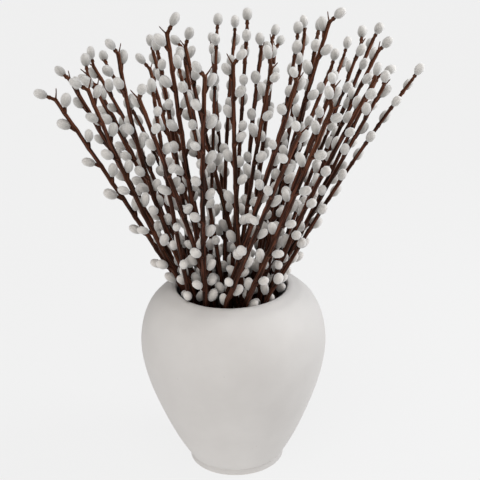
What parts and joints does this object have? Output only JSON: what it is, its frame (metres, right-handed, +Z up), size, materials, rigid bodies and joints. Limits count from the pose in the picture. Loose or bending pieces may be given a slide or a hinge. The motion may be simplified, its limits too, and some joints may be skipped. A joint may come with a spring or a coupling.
{
  "type": "vase of pussy willow twigs",
  "caption": "Round-shouldered matt ceramic vase holding a full, upright spray of dark willow twigs with silvery catkins.",
  "frame": {"origin": "centre of the vase's resting face, on the axis of the vase", "axes": "+Z up along the vase's axis, the front faces -Y, +X to the right seen from the front"},
  "size_m": [0.4367, 0.3967, 0.5759],
  "materials": {
    "ceramic": "matt off-white glaze",
    "bark": "satin, dark reddish brown bark",
    "down": "soft silvery down of the catkins"
  },
  "bodies": {
    "root": {"vase": "ceramic", "twig_01": "bark", "twig_02": "bark", "twig_03": "bark", "twig_04": "bark", "twig_05": "bark", "twig_06": "bark", "twig_07": "bark", "twig_08": "bark", "twig_09": "bark", "twig_10": "bark", "twig_11": "bark", "twig_12": "bark", "twig_13": "bark", "twig_14": "bark", "twig_15": "bark", "twig_16": "bark", "twig_17": "bark", "twig_18": "bark", "twig_19": "bark", "twig_20": "bark", "twig_21": "bark", "twig_22": "bark", "twig_23": "bark", "twig_24": "bark", "twig_25": "bark", "twig_26": "bark", "twig_27": "bark", "twig_28": "bark", "twig_29": "bark", "twig_30": "bark", "twig_31": "bark", "twig_32": "bark", "twig_33": "bark", "twig_34": "bark", "twig_35": "bark", "twig_36": "bark", "twig_37": "bark", "twig_38": "bark", "twig_39": "bark", "twig_40": "bark", "twig_41": "bark", "twig_42": "bark", "twig_43": "bark", "twig_44": "bark"}
  },
  "joints": []
}
